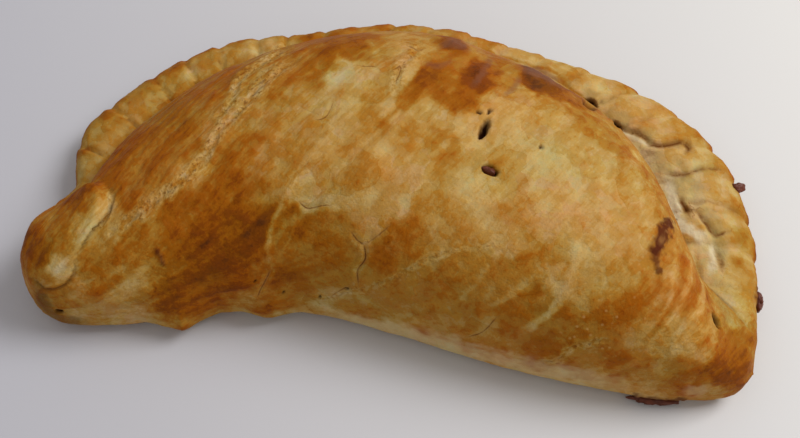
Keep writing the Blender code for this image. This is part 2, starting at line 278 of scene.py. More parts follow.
def crust(along, around):
    """Points of the crust, in millimetres. around counts a slice's points, from the back of the base."""
    front, groove, edge = (column(name, along) for name in ("front", "groove", "edge"))
    crown, crimp, groove_z = (column(name, along) for name in ("crown", "crimp", "groove_z"))
    under_f, front_f, dome_f, crimp_f, back_f = zones(around)

    outer = mix(groove, edge, crimp_share(along, np.ones_like(along), 1.0)[0][..., None])
    chord = outer - front
    length = np.maximum(np.linalg.norm(chord, axis=-1, keepdims=True), 1e-6)
    foot = np.minimum(FOOT, FOOT_SHARE * length)
    toe = front + inward("front", along, 1) * foot
    heel = outer + inward("edge", along, -1) * foot

    quarter = np.pi / 2
    dome_share, dome_up = arch(dome_f, DOME_FULLNESS, CROWN_SHARE)
    dome_rest = mix(FRONT_Z, groove_z, dome_f)
    flat_share, crimp_up = arch(crimp_f, CRIMP_FULLNESS, CRIMP_RIDGE)
    crimp_across, puff = crimp_share(along, crimp_f, flat_share)
    crimp_rest = mix(groove_z, EDGE_Z, crimp_f)
    end_f = np.clip((around - DOME_START) / (DOME + CRIMP), 0, 1)
    end_share, end_up = arch(end_f, DOME_FULLNESS, CROWN_SHARE)
    end_z = mix(mix(FRONT_Z, EDGE_Z, end_f), crown, end_up)
    parts = (
        (mix(heel, toe, under_f[..., None]), np.zeros_like(along)),
        (mix(toe, front, np.sin(quarter * front_f)[..., None]), FRONT_Z * (1 - np.cos(quarter * front_f))),
        (mix(front, groove, dome_share[..., None]), mix(dome_rest, crown, dome_up)),
        (mix(groove, edge, crimp_across[..., None]), mix(EDGE_Z, mix(crimp_rest, crimp, crimp_up), puff)),
        (mix(heel, outer, np.cos(quarter * back_f)[..., None]), EDGE_Z * (1 - np.sin(quarter * back_f))),
    )
    ends = (UNDER, DOME_START, CRIMP_START, BACK_START)
    which = [around <= end for end in ends] + [around > BACK_START]
    plan = np.stack([np.select(which, [p[..., k] for p, _ in parts]) for k in range(2)], axis=-1)
    z = np.select(which, [height for _, height in parts])
    over_top = (around >= DOME_START) & (around <= BACK_START)
    plain = np.where(over_top, plain_section(along), 0)
    plan = mix(plan, mix(front, outer, end_share[..., None]), plain[..., None])
    z = mix(z, end_z, plain)

    low = ramp(z, 0, FRONT_Z) * (1 - ramp(z, FRONT_Z, FLAP_TOP))
    over_front = np.where(around < DOME_START + DOME / 2, low, 0)
    plan = plan - chord / length * (flap_reach(along) * over_front)[..., None]

    opening = np.sin(quarter * np.clip(np.minimum(along, 1 - along) / TIP_ROUND, 0, 1))
    z = mix(TIP_Z, z, opening)
    raised = sum(patch_height(patch, plan[..., 0], plan[..., 1]) for patch in (NOSE_FLAP, *BLISTERS))
    z = z + raised * ramp(z, RELIEF_FROM, RELIEF_FULL)
    return np.concatenate([plan, z[..., None]], axis=-1)


# Camera, in millimetres and degrees

FRAME_WIDTH, FRAME_HEIGHT = 800, 438
CAMERA_ELEVATION, CAMERA_AZIMUTH, CAMERA_DISTANCE = 60.0, 9.0, 330.0
CAMERA_TARGET = np.array([-0.1, -14.35, 14.0])
HALF_VIEW = 113.0  # half the width that the camera sees at the target's distance
SENSOR = 36.0
MM_PER_PIXEL = 2 * HALF_VIEW / FRAME_WIDTH


def camera_axes():
    """The camera's right, up and backward directions."""
    elevation, azimuth = math.radians(CAMERA_ELEVATION), math.radians(CAMERA_AZIMUTH)
    back = np.array([
        math.sin(azimuth) * math.cos(elevation),
        -math.cos(azimuth) * math.cos(elevation),
        math.sin(elevation),
    ])
    right = np.array([math.cos(azimuth), math.sin(azimuth), 0.0])
    return right, np.cross(back, right), back


def to_pixels(points):
    """Where points show in the photograph's frame."""
    right, up, back = camera_axes()
    away = points - (CAMERA_TARGET + back * CAMERA_DISTANCE)
    scale = FRAME_WIDTH / 2 * CAMERA_DISTANCE / HALF_VIEW / -(away @ back)
    from_left = FRAME_WIDTH / 2 + scale * (away @ right)
    from_top = FRAME_HEIGHT / 2 - scale * (away @ up)
    return np.stack([from_left, from_top], axis=-1)


def make_camera():
    """The camera that took the photograph."""
    right, up, back = camera_axes()
    data = bpy.data.cameras.new("photo_camera")
    data.sensor_width = SENSOR
    data.lens = SENSOR / 2 * CAMERA_DISTANCE / HALF_VIEW
    camera = bpy.data.objects.new("photo_camera", data)
    camera.location = Vector(CAMERA_TARGET + back * CAMERA_DISTANCE) * MM
    camera.rotation_euler = Vector(back).to_track_quat("Z", "Y").to_euler()
    bpy.context.scene.collection.objects.link(camera)
    bpy.context.scene.camera = camera


# Fine grid of the crust

FINE_SLICES = 380
FINE_COUNTS = (8, 16, 168, 50, 12)  # points under, up the front, over dome and crimp, and down the back
FINE_AROUND = sum(FINE_COUNTS)
SEEN_FROM = (-0.1, 0.15)  # how far the surface faces the camera, from unseen to seen


class Skin(NamedTuple):
    """The crust's grid: arrays with a row for each slice and a column for each point around it."""

    along: np.ndarray
    around: np.ndarray
    points: np.ndarray
    normals: np.ndarray
    step_along: np.ndarray  # from one slice to the next
    step_around: np.ndarray  # from one point around to the next
    pixels: np.ndarray
    seen: np.ndarray  # 1 where the surface faces the camera


def grid_steps(points):
    """The steps from slice to slice and from point to point of a grid, and its normals."""
    step_along = np.gradient(points, axis=0)
    step_around = (np.roll(points, -1, axis=1) - np.roll(points, 1, axis=1)) / 2
    normals = np.cross(step_along, step_around)
    length = np.linalg.norm(normals, axis=-1, keepdims=True)
    normals = normals / np.maximum(length, 1e-9)
    normals[0] = (-1, 0, 0)
    normals[-1] = (1, 0, 0)
    return step_along, step_around, normals


def make_skin():
    """The crust's form on its fine grid, before the relief."""
    coarse_ends = np.cumsum([0, UNDER, FRONT, DOME, CRIMP, BACK])
    fine_ends = np.cumsum([0, *FINE_COUNTS])
    around = np.interp(np.arange(FINE_AROUND), fine_ends, coarse_ends)
    along = np.linspace(0, 1, FINE_SLICES + 1)
    along, around = np.meshgrid(along, around, indexing="ij")
    points = crust(along, around)
    step_along, step_around, normals = grid_steps(points)
    back = camera_axes()[2]
    away = CAMERA_TARGET + back * CAMERA_DISTANCE - points
    away /= np.linalg.norm(away, axis=-1, keepdims=True)
    seen = ramp(np.sum(normals * away, axis=-1), *SEEN_FROM)
    return Skin(along, around, points, normals, step_along, step_around, to_pixels(points), seen)


# Noise

TABLE = 256
NOISE_GAIN = 1.7  # brings the noise to about -1 to 1


def noise(points, size, seed):
    """Smooth noise, about -1 to 1, whose bumps are of the given size in millimetres."""
    rng = np.random.default_rng(seed)
    order = rng.permutation(TABLE)
    slopes = rng.normal(size=(TABLE, 3))
    slopes /= np.linalg.norm(slopes, axis=1, keepdims=True)
    at = points / size
    cell = np.floor(at).astype(int)
    f = at - cell
    fade = f ** 3 * (f * (f * 6 - 15) + 10)
    total = np.zeros(points.shape[:-1])
    for corner in itertools.product((0, 1), repeat=3):
        x, y, z = np.moveaxis((cell + corner) % TABLE, -1, 0)
        slope = slopes[order[(order[(order[x] + y) % TABLE] + z) % TABLE]]
        weight = np.prod(np.where(np.array(corner) == 1, fade, 1 - fade), axis=-1)
        total += weight * np.sum(slope * (f - corner), axis=-1)
    return total * NOISE_GAIN


def fractal(points, size, seed, octaves=3):
    """Noise with finer noise on it."""
    return sum(noise(points, size / 2 ** k, seed + k) / 2 ** k for k in range(octaves))


def sample(field, i, j):
    """A grid field read between its points. Slices stop at the ends, and points go round."""
    i = np.clip(i, 0, field.shape[0] - 1.001)
    i0, j0 = np.floor(i).astype(int), np.floor(j).astype(int)
    fi, fj = i - i0, j - j0
    around = field.shape[1]
    j0, j1 = j0 % around, (j0 + 1) % around
    if field.ndim > 2:
        fi, fj = fi[..., None], fj[..., None]
    near = field[i0, j0] * (1 - fj) + field[i0, j1] * fj
    far = field[i0 + 1, j0] * (1 - fj) + field[i0 + 1, j1] * fj
    return near * (1 - fi) + far * fi


# Grain: the direction that the rolled dough's streaks run in, as an angle in plan at places in plan

GRAIN = (
    ((-95, -35), 60),
    ((-80, -10), 58),
    ((-60, 10), 57),
    ((-60, -30), 66),
    ((-25, 20), 56),
    ((-20, -20), 58),
    ((10, 10), 55),
    ((5, -35), 50),
    ((30, -35), 42),
    ((40, 10), 62),
    ((55, -45), 30),
    ((62, -5), 88),
    ((75, -30), 75),
    ((88, -20), 82),
    ((90, -42), 60),
)
GRAIN_REACH = 14.0
COMB_STEP = 0.6  # millimetres
COMB_SPREAD = 0.5  # standard deviation of what is combed
MOST_STEPS = 4  # the most grid steps that a comb's step may take


def grain_steps(skin):
    """The grid steps that lead COMB_STEP along the grain from each point."""
    plan = skin.points[..., :2]
    total = np.zeros(plan.shape)
    for place, angle in GRAIN:
        weight = 1 / (np.sum((plan - place) ** 2, axis=-1) + GRAIN_REACH ** 2) ** 1.5
        doubled = math.radians(2 * angle)
        total += weight[..., None] * (math.cos(doubled), math.sin(doubled))
    angle = np.arctan2(total[..., 1], total[..., 0]) / 2
    way = np.stack([np.cos(angle), np.sin(angle), np.zeros_like(angle)], axis=-1)
    way = way - skin.normals * np.sum(way * skin.normals, axis=-1, keepdims=True)
    way /= np.maximum(np.linalg.norm(way, axis=-1, keepdims=True), 1e-6)
    a, b = skin.step_along, skin.step_around
    aa, bb, ab = (np.sum(p * q, axis=-1) for p, q in ((a, a), (b, b), (a, b)))
    wa, wb = np.sum(way * a, axis=-1), np.sum(way * b, axis=-1)
    det = np.maximum(aa * bb - ab * ab, 1e-6)
    steps = np.stack([(bb * wa - ab * wb) / det, (aa * wb - ab * wa) / det], axis=-1) * COMB_STEP
    return np.clip(steps, -MOST_STEPS, MOST_STEPS)


def comb(field, steps, length):
    """A field averaged along the grain over millimetres, which draws its spots out into streaks."""
    rows, columns = np.meshgrid(np.arange(field.shape[0]), np.arange(field.shape[1]), indexing="ij")
    count = max(int(length / COMB_STEP / 2), 1)
    total = field.copy()
    for way in (1, -1):
        i, j = rows.astype(float), columns.astype(float)
        for _ in range(count):
            step = sample(steps, i, j)
            i = i + way * step[..., 0]
            j = j + way * step[..., 1]
            total += sample(field, i, j)
    spread = total / (2 * count + 1)
    return spread / np.std(spread) * COMB_SPREAD


# What the photograph shows, placed by its pixels


FAR = 1e6  # a distance that stands for none


def trace(line, count=24):
    """A smooth line through a few pixels."""
    line = np.array(line, float)
    run = np.concatenate([[0], np.cumsum(np.hypot(*np.diff(line, axis=0).T))])
    at = np.linspace(0, run[-1], count)
    return np.stack([smooth(run, line[:, k], at) for k in range(2)], axis=-1)


def distance_to(line, at, reach):
    """How far pixels are from a line, on which side of it, and how far along it they are, from 0 to 1.
    Pixels that are further away than the reach get an endless distance."""
    points = trace(line)
    best = np.full(at.shape[:-1], FAR)
    side = np.ones(at.shape[:-1])
    share = np.full(at.shape[:-1], 0.5)
    close = np.all((at > points.min(axis=0) - reach) & (at < points.max(axis=0) + reach), axis=-1)
    here = at[close]
    gap, flank, place = best[close], side[close], share[close]
    for k, (a, b) in enumerate(zip(points, points[1:])):
        way = b - a
        f = np.clip((here - a) @ way / (way @ way), 0, 1)
        off = here - a - f[:, None] * way
        distance = np.hypot(off[:, 0], off[:, 1])
        nearer = distance < gap
        gap = np.where(nearer, distance, gap)
        flank = np.where(nearer, np.sign(way[0] * off[:, 1] - way[1] * off[:, 0]), flank)
        place = np.where(nearer, (k + f) / (len(points) - 1), place)
    best[close], side[close], share[close] = gap, flank, place
    return best, side, share


class Bake(NamedTuple):
    """How far a spot of the crust is baked, from 0, raw, over 0.5, golden, to 1, burnt."""

    x: float  # pixels from the left of the photograph
    y: float  # pixels from its top
    radius: float  # in pixels
    level: float


BAKES = [Bake(*spot) for spot in (
    # Nose
    (52, 222, 14, 0.66), (72, 200, 12, 0.81), (36, 245, 12, 0.82), (48, 244, 7, 0.8), (60, 248, 10, 0.66),
    (58, 268, 8, 0.34), (74, 262, 7, 0.48), (92, 222, 10, 0.52), (104, 200, 8, 0.52), (104, 240, 12, 0.6),
    (90, 262, 12, 0.66), (120, 262, 14, 0.66), (140, 238, 14, 0.71), (55, 295, 12, 0.71),
    (90, 298, 16, 0.58), (125, 296, 14, 0.54), (125, 318, 10, 0.42),
    # Left end of the dome
    (110, 180, 12, 0.78), (135, 145, 12, 0.78), (165, 112, 12, 0.76), (200, 86, 12, 0.72),
    (240, 66, 12, 0.7), (150, 168, 12, 0.71), (180, 138, 12, 0.71), (128, 200, 10, 0.7),
    (205, 115, 10, 0.64), (225, 90, 10, 0.68), (150, 210, 8, 0.52), (185, 175, 8, 0.52), (215, 135, 8, 0.5),
    # Deep amber between the first two creases
    (215, 165, 12, 0.72), (225, 195, 16, 0.79), (190, 220, 16, 0.78), (205, 255, 18, 0.83),
    (165, 260, 12, 0.8), (170, 290, 14, 0.78), (205, 295, 14, 0.82), (240, 262, 12, 0.79),
    (248, 230, 14, 0.86), (188, 316, 12, 0.88),
    # Middle
    (255, 150, 12, 0.66), (285, 120, 14, 0.54), (255, 190, 10, 0.72), (280, 170, 10, 0.56),
    (310, 195, 10, 0.48), (330, 165, 12, 0.52), (350, 130, 12, 0.54), (390, 165, 14, 0.5),
    (370, 200, 12, 0.52), (330, 222, 10, 0.68), (305, 245, 14, 0.71), (330, 262, 14, 0.72),
    (290, 275, 12, 0.76), (265, 305, 10, 0.75), (300, 300, 10, 0.72), (380, 252, 10, 0.76),
    (410, 235, 12, 0.66), (445, 215, 12, 0.5), (420, 190, 12, 0.5), (350, 305, 10, 0.62),
    (400, 300, 12, 0.62), (400, 325, 8, 0.46), (440, 285, 14, 0.66), (470, 310, 12, 0.66),
    (480, 270, 12, 0.64), (520, 270, 12, 0.58), (500, 235, 14, 0.42), (540, 300, 12, 0.74),
    (510, 315, 10, 0.72), (545, 335, 15, 0.7),
    # Top of the dome
    (330, 42, 15, 0.82), (355, 45, 10, 0.82), (310, 55, 10, 0.71), (310, 72, 12, 0.74), (285, 76, 10, 0.68),
    (345, 72, 10, 0.32), (335, 95, 10, 0.44), (300, 90, 12, 0.56), (380, 76, 10, 0.54), (388, 50, 8, 0.62),
    (400, 72, 8, 0.38), (395, 105, 8, 0.4), (430, 82, 10, 0.82), (412, 100, 8, 0.7), (455, 60, 10, 0.74),
    (456, 44, 8, 0.86), (480, 76, 8, 0.9), (465, 95, 9, 0.78), (500, 62, 9, 0.72), (512, 78, 8, 0.66),
    (535, 72, 11, 0.95), (550, 82, 10, 0.88), (562, 95, 8, 0.72), (440, 120, 10, 0.48),
    (470, 130, 10, 0.42), (430, 145, 8, 0.6), (500, 110, 10, 0.46), (525, 105, 10, 0.44),
    (480, 190, 14, 0.4),
    # Right of the dome
    (540, 150, 22, 0.46), (560, 200, 22, 0.45), (600, 190, 18, 0.5), (590, 150, 12, 0.48),
    (600, 125, 10, 0.64), (630, 142, 10, 0.64), (632, 165, 10, 0.52), (655, 165, 9, 0.66),
    (660, 190, 9, 0.58), (640, 200, 10, 0.48), (640, 230, 10, 0.48), (600, 240, 16, 0.46),
    (620, 280, 12, 0.56), (590, 290, 12, 0.52), (565, 310, 10, 0.72), (600, 325, 16, 0.66),
    (630, 310, 12, 0.74), (650, 290, 10, 0.66), (570, 345, 10, 0.7), (620, 352, 12, 0.68),
    (640, 335, 12, 0.56), (665, 310, 8, 0.6), (670, 280, 8, 0.58), (600, 375, 8, 0.6), (650, 372, 9, 0.6),
    (690, 372, 12, 0.72), (690, 275, 9, 0.68), (693, 297, 9, 0.74), (685, 335, 9, 0.44),
    (705, 345, 9, 0.56), (728, 362, 16, 0.83), (732, 340, 10, 0.79), (738, 300, 10, 0.62),
    (640, 388, 8, 0.5), (700, 393, 8, 0.54),
    # Low front edge
    (340, 318, 6, 0.4), (440, 345, 7, 0.42), (500, 364, 7, 0.44), (560, 378, 7, 0.44),
    # Smaller spots over the dome
    (562, 84, 9, 0.92),
    (575, 100, 6, 0.76), (430, 32, 8, 0.62), (500, 262, 8, 0.66), (455, 330, 8, 0.6), (690, 352, 9, 0.42),
    (560, 290, 11, 0.38), (400, 50, 8, 0.42), (110, 212, 8, 0.46), (670, 206, 6, 0.68), (585, 102, 7, 0.8),
    (300, 220, 9, 0.74), (260, 120, 8, 0.46), (405, 205, 10, 0.48), (342, 192, 9, 0.46), (285, 50, 8, 0.76),
    (370, 160, 10, 0.46), (400, 130, 9, 0.6), (352, 108, 9, 0.62), (482, 330, 9, 0.56), (165, 200, 8, 0.66),
    (140, 300, 10, 0.62), (465, 230, 9, 0.5),
)]
# The same on the crimp, laid over the rule that its folds follow
CRIMP_BAKES = [Bake(*spot) for spot in (
    (84, 165, 12, 0.46), (104, 130, 13, 0.58), (102, 106, 8, 0.64), (138, 105, 13, 0.64),
    (140, 84, 8, 0.64), (168, 84, 9, 0.62), (190, 74, 9, 0.4), (212, 62, 8, 0.6), (232, 56, 8, 0.68),
    (250, 48, 9, 0.42), (272, 45, 9, 0.38), (340, 32, 14, 0.66), (408, 27, 14, 0.64), (432, 32, 9, 0.66),
    (450, 38, 14, 0.66), (505, 52, 12, 0.52), (545, 66, 12, 0.52), (578, 76, 8, 0.58), (618, 96, 14, 0.52),
    (610, 110, 9, 0.5), (564, 82, 8, 0.76), (655, 98, 8, 0.6), (648, 128, 14, 0.5), (690, 128, 9, 0.64),
    (668, 156, 10, 0.54), (720, 160, 10, 0.7), (700, 192, 14, 0.32), (736, 180, 8, 0.66),
    (738, 215, 9, 0.7), (742, 236, 9, 0.82), (722, 292, 9, 0.48), (738, 262, 7, 0.84), (748, 290, 9, 0.6),
)]
BAKE_REST = 0.62  # level where no spot is near
BAKE_HOLD = 0.02  # how strongly the rest level holds
BROAD_WOBBLE, FINE_WOBBLE, CRIMP_WOBBLE = 9, 5, 3  # pixels that the spots' outlines wander


# Lines on the crust, by kind and in the order that they are laid. Each has half its width in pixels, its
# strength, and the pixels that it runs through. A crack is dark over its half width.
LINES = {
    # Pock-marked pale creases, from where the dough was stretched
    "crease": (
        (8, 1, (297, 60), (262, 84), (246, 104), (222, 128), (206, 156), (187, 176), (160, 198),
         (137, 215), (112, 232)),
        (6, 0.9, (288, 48), (262, 64), (238, 82), (232, 103), (218, 116)),
        (4.5, 0.6, (452, 250), (425, 261), (401, 274), (372, 287), (349, 293), (314, 306)),
        (7, 0.8, (420, 46), (412, 56), (401, 66), (397, 78), (396, 92)),
        (5, 0.8, (607, 340), (590, 343), (574, 347), (560, 358), (539, 360)),
        (3, 0.5, (500, 236), (490, 244), (470, 249), (448, 252), (420, 268)),
        (3.5, 0.8, (112, 192), (111, 205), (104, 222), (92, 234)),
    ),
    # Pale streaks
    "streak": (
        (11, 0.8, (372, 60), (352, 100), (330, 140), (305, 172), (284, 198)),
        (2.8, 0.65, (300, 173), (284, 198), (272, 226), (268, 248), (273, 268)),
        (1.6, 0.35, (296, 205), (290, 238), (279, 257)),
        (5, 0.9, (569, 232), (577, 249), (572, 272), (564, 292), (546, 316), (524, 331)),
        (3, 0.5, (504, 252), (490, 266), (470, 290), (455, 304)),
        (3.5, 0.6, (541, 270), (518, 290), (490, 306)),
        (3, 0.6, (640, 360), (612, 370), (588, 378)),
        (5, 0.6, (470, 110), (440, 150), (415, 190), (400, 215)),
        (5, 0.7, (430, 92), (398, 125), (380, 150), (366, 180)),
        (4, 0.7, (708, 304), (686, 323), (674, 341), (672, 352)),
        (3.5, 0.7, (688, 245), (690, 272), (680, 300), (664, 326), (648, 345)),
        (3, 0.6, (676, 252), (672, 276), (670, 296), (658, 318), (640, 338)),
        (3.5, 0.7, (702, 256), (704, 285), (698, 308), (684, 330)),
    ),
    # Browned streaks between the pale ones
    "brown": (
        (3, 0.5, (682, 246), (682, 274), (676, 298), (662, 322), (644, 342)),
        (2.5, 0.45, (696, 250), (698, 276), (690, 304), (674, 330)),
        (3, 0.5, (659, 268), (658, 288), (648, 300), (636, 310)),
        (9, 0.6, (97, 178), (150, 126), (200, 87), (250, 62)),
        (5, 0.6, (300, 40), (330, 38), (362, 44)),
        (3, 0.6, (469, 48), (434, 66), (413, 90), (399, 107), (375, 129)),
        # the dome's back edge: its burnt rim, and painted shade where it meets the crimp behind
        (2, 0.7, (471, 48), (507, 58), (531, 65), (559, 76), (563, 82), (590, 103), (600, 112)),
    ),
    # Cracks
    "crack": (
        (1.2, 0.8, (352, 233), (357, 240), (364, 245)),
        (1.2, 0.7, (388, 227), (376, 237), (366, 244)),
        (1.2, 1, (364, 245), (365, 259), (357, 272), (358, 283)),
        (1, 0.8, (318, 120), (325, 117), (333, 103)),
        (1, 0.9, (299, 202), (306, 208), (320, 206), (328, 205)),
        (1, 0.8, (496, 318), (480, 334), (468, 337)),
        (1, 0.8, (270, 271), (263, 285), (257, 297)),
        (1, 0.6, (349, 287), (340, 291), (331, 297)),
        (0.9, 0.7, (408, 47), (420, 50), (424, 49)),
        (0.9, 0.7, (394, 70), (401, 66), (399, 74), (396, 79)),
        (0.9, 0.7, (361, 66), (368, 66), (376, 66)),
    ),
    # Edge of the nose's flap, with a painted shadow under it
    "lip": (
        (5, 1, (104, 184), (112, 194), (108, 211), (98, 224), (86, 239), (79, 254)),
        (4, 1, (75, 262), (72, 274), (63, 284), (48, 288), (33, 279)),
    ),
    # Crevices between the folds at the right, with painted shade in them
    "crevice": (
        (3, 1, (613, 122), (621, 129), (634, 133), (646, 139), (650, 144)),
        (3, 1, (648, 144), (658, 146), (670, 145), (684, 143), (689, 148), (685, 153)),
        (3, 0.8, (668, 174), (680, 175), (690, 173), (700, 168)),
        (2.5, 0.6, (698, 169), (708, 168), (720, 169)),
        (4.5, 1, (680, 199), (684, 206), (688, 213)),
        (3, 0.7, (684, 201), (697, 203), (706, 201)),
        (2, 0.3, (706, 201), (718, 204), (738, 212)),
        (3, 0.9, (697, 211), (706, 223), (716, 235), (728, 231)),
        (4.5, 0.9, (716, 252), (720, 260), (722, 268)),
    ),
    # Raw, floured dough
    "flour": (
        (6, 0.95, (669, 178), (671, 195), (675, 210), (682, 226), (694, 234), (706, 241)),
        (4, 0.85, (712, 244), (713, 258), (711, 272)),
        (2.5, 0.6, (621, 129), (634, 138), (648, 144)),
        (3, 0.3, (706, 306), (709, 318), (715, 330)),
        (8, 0.3, (326, 314), (385, 328), (440, 341), (500, 358), (560, 371), (620, 384)),
        (5, 0.25, (686, 390), (698, 391), (708, 388)),
        (4, 0.45, (54, 273), (60, 267), (66, 262)),
    ),
    # Painted shade on the grey-brown low side of the nose, which faces away from the light
    "painted_shade": (
        (6, 0.55, (37, 288), (43, 304), (58, 317), (84, 324)),
    ),
    # Olive tone where the dough stayed soft, and painted shade under the crimp's folds
    "olive_dough_and_shade": (
        (7, 0.45, (604, 114), (616, 116), (632, 124)),
        (7, 0.4, (634, 132), (652, 136)),
        (6, 0.45, (678, 160), (690, 180), (702, 190)),
        (7, 0.5, (700, 208), (712, 220), (719, 236), (721, 262)),
        (8, 0.35, (652, 152), (664, 166), (676, 182), (690, 196)),
        (6, 0.4, (716, 298), (724, 308), (730, 318)),
        (5, 0.6, (722, 318), (729, 322)),
        (5, 0.5, (586, 92), (598, 98)),
    ),
    # Purplish burnt patches at the top
    "plum": (
        (5, 0.55, (441, 46), (455, 43), (467, 49)),
        (3.5, 0.45, (492, 58), (482, 74), (474, 86)),
        (5, 0.6, (521, 68), (540, 72), (558, 82)),
        (3, 0.5, (505, 96), (513, 88), (520, 78)),
        (3, 0.35, (425, 64), (440, 66), (452, 62)),
    ),
    # Small pale blisters on the browned lower right
    "dots": (
        (38, 1, (575, 300), (610, 325), (640, 345)),
        (16, 0.6, (640, 250), (630, 285)),
    ),
    # Leaks and burst spots
    "leak": (
        (6.5, 0.95, (668, 224), (664, 233), (660, 243), (657, 249)),
        (3.5, 0.8, (657, 248), (655, 256), (657, 264), (659, 271)),
        (3, 0.8, (157, 250), (161, 257), (163, 264)),
        (3, 0.8, (635, 395), (655, 399), (684, 400)),
        (3, 0.9, (758, 289), (759, 304)),
    ),
    "jelly": (
        (2.5, 0.7, (663, 238), (660, 243)),
    ),
}


class Pit(NamedTuple):
    """A hole in the crust: an ellipse in the photograph, and how deep it goes, in millimetres."""

    pixel: tuple
    half_long: float
    half_wide: float
    turn: float  # degrees, from right towards up
    depth: float


PITS = (
    Pit((484, 129), 12.0, 4.5, 62, 3.4),
    Pit((490, 170), 10.0, 5.0, -25, 2.6),
    Pit((479, 113), 2.2, 2.0, 0, 1.0),
    Pit((489, 112), 3.0, 2.0, 30, 0.9),
    Pit((541, 146), 3.0, 1.8, 10, 0.7),
    Pit((590, 104), 8.0, 5.0, -30, 3.0),
    Pit((617, 125), 6.0, 2.5, -45, 2.4),
    Pit((716, 321), 9.0, 3.6, -60, 2.4),
    Pit((347, 289), 1.8, 1.4, 0, 0.6),
    Pit((320, 297), 1.8, 1.4, 0, 0.6),
    Pit((255, 280), 1.5, 1.2, 0, 0.4),
    Pit((284, 292), 1.5, 1.2, 0, 0.4),
    Pit((59, 311), 4.0, 2.2, -20, 1.0),
)


def pit_reach(pit, pixels):
    """How far out pixels are in a pit: 0 in its middle and 1 on its rim."""
    turn = math.radians(pit.turn)
    right, up = pixels[..., 0] - pit.pixel[0], pit.pixel[1] - pixels[..., 1]
    long = (right * math.cos(turn) + up * math.sin(turn)) / pit.half_long
    wide = (up * math.cos(turn) - right * math.sin(turn)) / pit.half_wide
    return np.hypot(long, wide)


# Relief and colours of the crust

PALETTE = {
    "cream": (0.59, 0.415, 0.21),
    "straw": (0.54, 0.365, 0.165),
    "tan": (0.52, 0.31, 0.118),
    "honey": (0.44, 0.235, 0.062),
    "gold": (0.375, 0.160, 0.022),
    "amber": (0.30, 0.086, 0.0035),
    "deep": (0.205, 0.050, 0.0030),
    "brown": (0.120, 0.030, 0.0050),
    "dark": (0.065, 0.020, 0.0070),
    "burnt": (0.040, 0.016, 0.0100),
    "flour": (0.64, 0.54, 0.34),
    # olive of soft dough, laid also as painted shade under the crimp's folds
    "olive_dough_and_shade": (0.24, 0.160, 0.045),
    "plum": (0.190, 0.080, 0.0450),
    "leak": (0.085, 0.018, 0.0070),
    "jelly": (0.27, 0.120, 0.0350),
    # painted shade inside holes
    "pit": (0.030, 0.009, 0.0040),
    # painted shade, laid in creases, crevices, the seam, under the nose's lip and on its low side
    "painted_shade": (0.060, 0.026, 0.0100),
}
BAKE_COLOURS = (
    (0.00, "cream"), (0.25, "straw"), (0.38, "tan"), (0.50, "honey"), (0.62, "gold"),
    (0.76, "amber"), (0.86, "deep"), (0.96, "brown"), (1.08, "dark"), (1.22, "burnt"),
)
LEVEL_TOP = 1.25  # the highest level that the colours are given for


def laid_over(tints, shape):
    """Colours laid over each other: the sum that is added to what is below, and how much it hides."""
    cover = np.zeros((*shape, 4))
    for name, share in tints:
        cover = mix(cover, np.array([*PALETTE[name], 1.0]), np.clip(share, 0, 1)[..., None])
    return cover


def bump_at(value, middle, width):
    """A soft bump of height 1 where the value is at the middle."""
    return np.exp(-((value - middle) / width) ** 2)


class Texture(NamedTuple):
    """Noise fields over the skin, about -1 to 1."""

    patches: np.ndarray
    mottle: np.ndarray
    speckle: np.ndarray
    flecks: np.ndarray
    broad_streaks: np.ndarray
    fine_streaks: np.ndarray
    wrinkles: np.ndarray  # across the crimp

    def mixed(self, **shares):
        """The sum of some of the fields, each times its share."""
        return sum(getattr(self, name) * share for name, share in shares.items())


def make_texture(skin):
    """The skin's noise fields, by the size of their spots or the length of their streaks in millimetres."""
    steps = grain_steps(skin)
    run = edge_length(skin.along)
    pinched = np.stack([run / 1.5, zones(skin.around)[3] * 2.0, np.zeros_like(run)], axis=-1)
    return Texture(
        patches=fractal(skin.points, 26.0, 1),
        mottle=fractal(skin.points, 7.0, 5),
        speckle=fractal(skin.points, 2.4, 11, 2),
        flecks=fractal(skin.points, 1.3, 15, 2),
        broad_streaks=comb(noise(skin.points, 4.0, 21), steps, 24.0),
        fine_streaks=comb(noise(skin.points, 1.5, 22), steps, 9.0),
        wrinkles=fractal(pinched, 1.0, 61, 2),
    )


def wobble(skin, size=3.5, seeds=(41, 45)):
    """Noise for two directions, which makes the outlines of spots ragged."""
    return np.stack([fractal(skin.points, size, seed) for seed in seeds], axis=-1)


def spot_share(spot, at):
    """How much of a spot there is at pixels: 1 in its middle, and less further out."""
    return np.exp(-np.sum(((at - (spot.x, spot.y)) / spot.radius) ** 2, axis=-1))


def bake_level(skin, texture):
    """How far each point is baked, before streaks: as photographed, or by a rule where it isn't seen."""
    total = np.full(skin.along.shape, BAKE_HOLD * BAKE_REST)
    weight = np.full(skin.along.shape, BAKE_HOLD)
    at = skin.pixels + BROAD_WOBBLE * wobble(skin, 11.0, (31, 35)) + FINE_WOBBLE * wobble(skin)
    for spot in BAKES:
        share = spot_share(spot, at)
        total += share * spot.level
        weight += share
    return mix(0.64 + 0.16 * texture.patches, total / weight, skin.seen)


def crease_gap(skin, across):
    """Millimetres along the edge to the nearest crease of the crimp, below 0 before it."""
    count = fold_count(skin.along, across)
    spacing = np.gradient([crease.at_edge for crease in CREASES])
    nearest = np.round(count)
    return (count - nearest) * np.interp(nearest, np.arange(len(CREASES)), spacing)


LINE_MARGIN = 16  # pixels beyond a line's own reach that are worked out too
CRIMP_KINDS = ("flour", "olive_dough_and_shade", "crevice")  # lines that stay off the dome
CRIMP_FROM = 600  # where in the photograph they are on the crimp, in pixels from the left
CRIMP_TOP = (17.0, 21.0)  # heights over which they fade out
CREVICES_FROM = (600, 630)  # where crevices take the place of the folds' rule
CRACK_FAR = 9.0  # distance from a crack, in millimetres, where there is none
CRACK_REACH = (1.2, 2.4)  # distances over which a crack's own fields fade out


